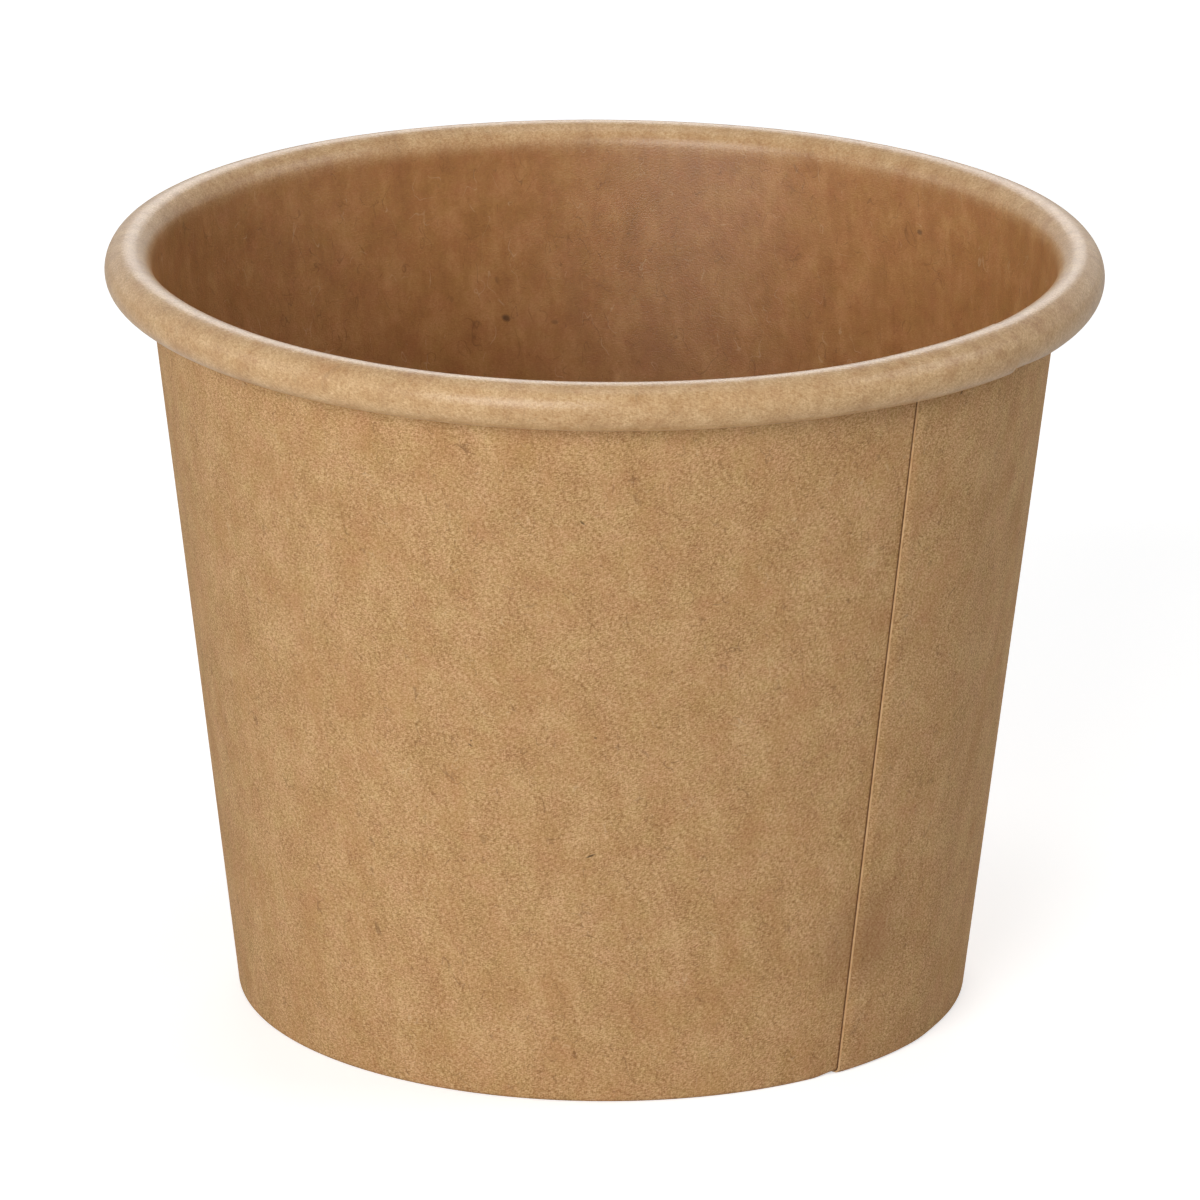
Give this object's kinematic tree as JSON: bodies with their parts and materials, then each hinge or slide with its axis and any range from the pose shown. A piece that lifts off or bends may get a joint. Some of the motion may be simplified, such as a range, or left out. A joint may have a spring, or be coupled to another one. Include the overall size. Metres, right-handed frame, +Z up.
{
  "type": "kraft portion cup",
  "caption": "Tapered round kraft paperboard cup with a rolled rim, a lapped side seam and a recessed base held in a folded foot.",
  "frame": {"origin": "on the cup's axis at the table, in the middle of the folded foot", "axes": "+Z up along the cup's axis to the open rim; -Y towards the viewer of the picture; the middle of the side seam's lap is turned 41.5 degrees from +X towards -Y"},
  "size_m": [0.0742, 0.074, 0.0574],
  "materials": {
    "kraft_board": "matt unprinted kraft paperboard with fine fibres",
    "base_board": "matt unprinted kraft paperboard"
  },
  "bodies": {
    "root": {"side_wall": "kraft_board", "base_disc": "base_board"}
  },
  "joints": []
}
